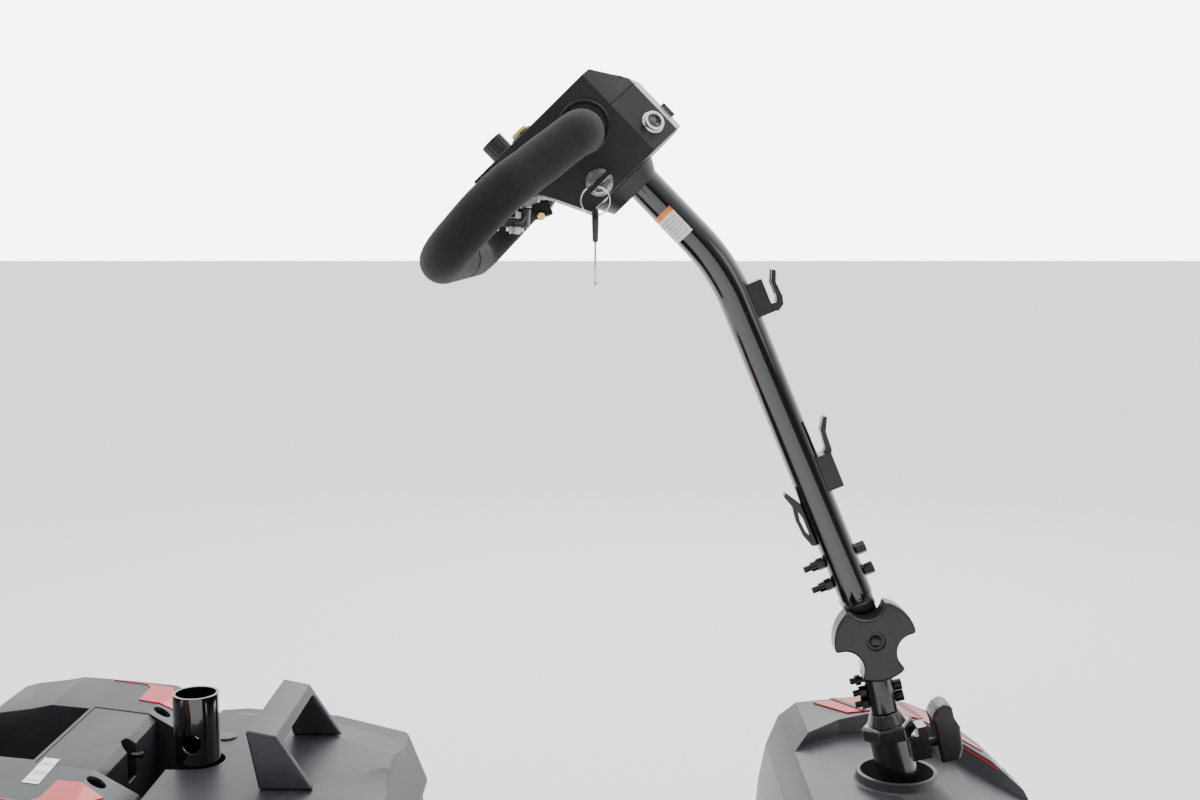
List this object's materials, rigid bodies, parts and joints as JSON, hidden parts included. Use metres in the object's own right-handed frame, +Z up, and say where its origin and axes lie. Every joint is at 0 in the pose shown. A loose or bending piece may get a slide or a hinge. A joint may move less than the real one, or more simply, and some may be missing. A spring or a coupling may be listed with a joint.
{
  "type": "travel mobility scooter",
  "caption": "Compact four-wheel travel mobility scooter with its seat lifted off: folding steering tiller with closed delta bar, lift-out battery pack, floor deck and moulded shrouds.",
  "frame": {"origin": "on the ground, in the middle of the scooter's length and width", "axes": "+X forward, +Y to the rider's left, +Z up"},
  "size_m": [1.112, 0.504, 0.9014],
  "materials": {
    "battery_block": "matte",
    "battery_grey": "satin",
    "black_plastic": "satin",
    "cast_aluminium": "cast",
    "chrome": "polished",
    "foam_black": "foam",
    "frame_black": "satin",
    "head_charcoal": "satin",
    "mat_rubber": "ribbed",
    "red_gloss": "gloss",
    "shroud_grey": "satin",
    "steel_black": "gloss",
    "tyre": "moulded tread",
    "yellow_plastic": "gloss",
    "zinc": "satin"
  },
  "bodies": {
    "chassis": {"front_frame": "frame_black", "headset_bearings": "zinc", "floor_pan": "black_plastic", "floor_mat": "mat_rubber", "front_hood": "shroud_grey", "hood_inserts": "red_gloss", "front_bumper": "black_plastic", "rear_frame": "frame_black", "seat_post_tube": "steel_black", "transaxle_housing": "cast_aluminium", "drive_motor": "frame_black", "parking_brake": "frame_black", "controller_box": "cast_aluminium", "rear_shroud": "shroud_grey", "shroud_bridge": "shroud_grey", "rear_inserts": "red_gloss", "rear_reflectors": "red_gloss", "floor_screws": "zinc"},
    "battery": {"battery_case": "black_plastic", "battery_lid": "battery_grey", "battery_handle": "battery_grey", "battery_cells": "battery_block"},
    "column": {"steering_stem": "steel_black", "headset_nut": "chrome", "pivot_base": "steel_black", "stem_bolts": "zinc"},
    "tiller": {"tiller_fork": "frame_black", "tiller_tube": "steel_black", "tiller_bolts": "zinc", "basket_hooks": "black_plastic", "bag_hook": "black_plastic", "head_lower_shell": "head_charcoal", "head_upper_shell": "head_charcoal", "head_collar": "head_charcoal", "delta_bar": "steel_black", "foam_grips": "foam_black", "dash_panel": "black_plastic", "headlamps": "chrome", "key_switch": "chrome", "throttle_pivot": "zinc"},
    "knob": {"clamp_knob": "black_plastic", "pivot_bolt": "zinc"},
    "dial": {"speed_dial": "black_plastic"},
    "horn": {"horn_button": "yellow_plastic"},
    "light": {"light_button": "red_gloss"},
    "throttle": {"throttle_lever": "black_plastic"},
    "key": {"ignition_key": "black_plastic"},
    "ring": {"key_ring": "zinc"},
    "plunger": {"lock_plunger": "black_plastic"},
    "brake_release": {"freewheel_lever": "yellow_plastic"},
    "knuckle_left": {"knuckle_left": "frame_black"},
    "front_wheel_left": {"front_wheel_left": "tyre"},
    "rear_wheel_left": {"rear_wheel_left": "tyre"},
    "tie_rod_left": {"tie_rod_left": "zinc"},
    "anti_tip_left": {"anti_tip_roller_left": "black_plastic"},
    "knuckle_right": {"knuckle_right": "frame_black"},
    "front_wheel_right": {"front_wheel_right": "tyre"},
    "rear_wheel_right": {"rear_wheel_right": "tyre"},
    "tie_rod_right": {"tie_rod_right": "zinc"},
    "anti_tip_right": {"anti_tip_roller_right": "black_plastic"}
  },
  "joints": [
    {"name": "battery_lift", "type": "slide", "parent": "chassis", "child": "battery", "axis": [0, 0, 1], "range_m": [0, 0.15]},
    {"name": "steering", "type": "hinge", "parent": "chassis", "child": "column", "pos_m": [0.3435, 0, 0.398], "axis": [-0.2198, 0, 0.9755], "range_deg": [-40, 40]},
    {"name": "tiller_fold", "type": "hinge", "parent": "column", "child": "tiller", "pos_m": [0.3435, 0, 0.398], "axis": [0, 1, 0], "range_deg": [-50, 10]},
    {"name": "clamp_knob_turn", "type": "hinge", "parent": "tiller", "child": "knob", "pos_m": [0.3435, 0, 0.398], "axis": [0, 1, 0], "range_deg": [0, 360]},
    {"name": "speed_dial_turn", "type": "hinge", "parent": "tiller", "child": "dial", "pos_m": [0.01083, 0, 0.83173], "axis": [-0.6972, 0, 0.7169], "range_deg": [0, 270]},
    {"name": "horn_press", "type": "slide", "parent": "tiller", "child": "horn", "axis": [0.6972, 0, -0.7169], "range_m": [0, 0.0025], "stiffness_N_per_m": 400},
    {"name": "light_press", "type": "slide", "parent": "tiller", "child": "light", "axis": [0.6972, 0, -0.7169], "range_m": [0, 0.0025], "stiffness_N_per_m": 400},
    {"name": "throttle_swing", "type": "hinge", "parent": "tiller", "child": "throttle", "pos_m": [0.02025, 0, 0.79695], "axis": [-0.0652, 0, -0.9979], "range_deg": [-12, 12], "stiffness_Nm_per_rad": 0.6},
    {"name": "key_turn", "type": "hinge", "parent": "tiller", "child": "key", "pos_m": [0.09463, -0.075, 0.80581], "axis": [0, -1, 0], "range_deg": [0, 45]},
    {"name": "ring_swing", "type": "hinge", "parent": "key", "child": "ring", "pos_m": [0.09109, -0.097, 0.80228], "axis": [1, 0, 0], "range_deg": [-30, 10]},
    {"name": "column_lock", "type": "slide", "parent": "chassis", "child": "plunger", "axis": [-0.9755, 0, -0.2198], "range_m": [0, 0.006]},
    {"name": "freewheel_throw", "type": "hinge", "parent": "chassis", "child": "brake_release", "pos_m": [-0.441, -0.063, 0.116], "axis": [0, -1, 0], "range_deg": [0, 30]},
    {"name": "kingpin_left", "type": "hinge", "parent": "chassis", "child": "knuckle_left", "pos_m": [0.41011, 0.166, 0.10241], "axis": [-0.2198, 0, 0.9755], "range_deg": [-40, 40]},
    {"name": "tie_rod_pin_left", "type": "hinge", "parent": "column", "child": "tie_rod_left", "pos_m": [0.36683, 0.0095, 0.06703], "axis": [-0.2198, 0, 0.9755], "range_deg": [-40, 40]},
    {"name": "front_wheel_spin_left", "type": "hinge", "parent": "knuckle_left", "child": "front_wheel_left", "pos_m": [0.41314, 0.216, 0.089], "axis": [0, 1, 0], "continuous": true},
    {"name": "rear_wheel_spin_left", "type": "hinge", "parent": "chassis", "child": "rear_wheel_left", "pos_m": [-0.385, 0.219, 0.102], "axis": [0, 1, 0], "continuous": true},
    {"name": "anti_tip_spin_left", "type": "hinge", "parent": "chassis", "child": "anti_tip_left", "pos_m": [-0.52, 0.118, 0.06], "axis": [0, 1, 0], "continuous": true},
    {"name": "kingpin_right", "type": "hinge", "parent": "chassis", "child": "knuckle_right", "pos_m": [0.41011, -0.166, 0.10241], "axis": [-0.2198, 0, 0.9755], "range_deg": [-40, 40]},
    {"name": "tie_rod_pin_right", "type": "hinge", "parent": "column", "child": "tie_rod_right", "pos_m": [0.36683, -0.0095, 0.06703], "axis": [-0.2198, 0, 0.9755], "range_deg": [-40, 40]},
    {"name": "front_wheel_spin_right", "type": "hinge", "parent": "knuckle_right", "child": "front_wheel_right", "pos_m": [0.41314, -0.216, 0.089], "axis": [0, 1, 0], "continuous": true},
    {"name": "rear_wheel_spin_right", "type": "hinge", "parent": "chassis", "child": "rear_wheel_right", "pos_m": [-0.385, -0.219, 0.102], "axis": [0, 1, 0], "continuous": true},
    {"name": "anti_tip_spin_right", "type": "hinge", "parent": "chassis", "child": "anti_tip_right", "pos_m": [-0.52, -0.118, 0.06], "axis": [0, 1, 0], "continuous": true}
  ],
  "couplings": [
    {"joint": "kingpin_left", "follows": "steering", "ratio": 1},
    {"joint": "tie_rod_pin_left", "follows": "steering", "ratio": -1},
    {"joint": "kingpin_right", "follows": "steering", "ratio": 1},
    {"joint": "tie_rod_pin_right", "follows": "steering", "ratio": -1}
  ]
}
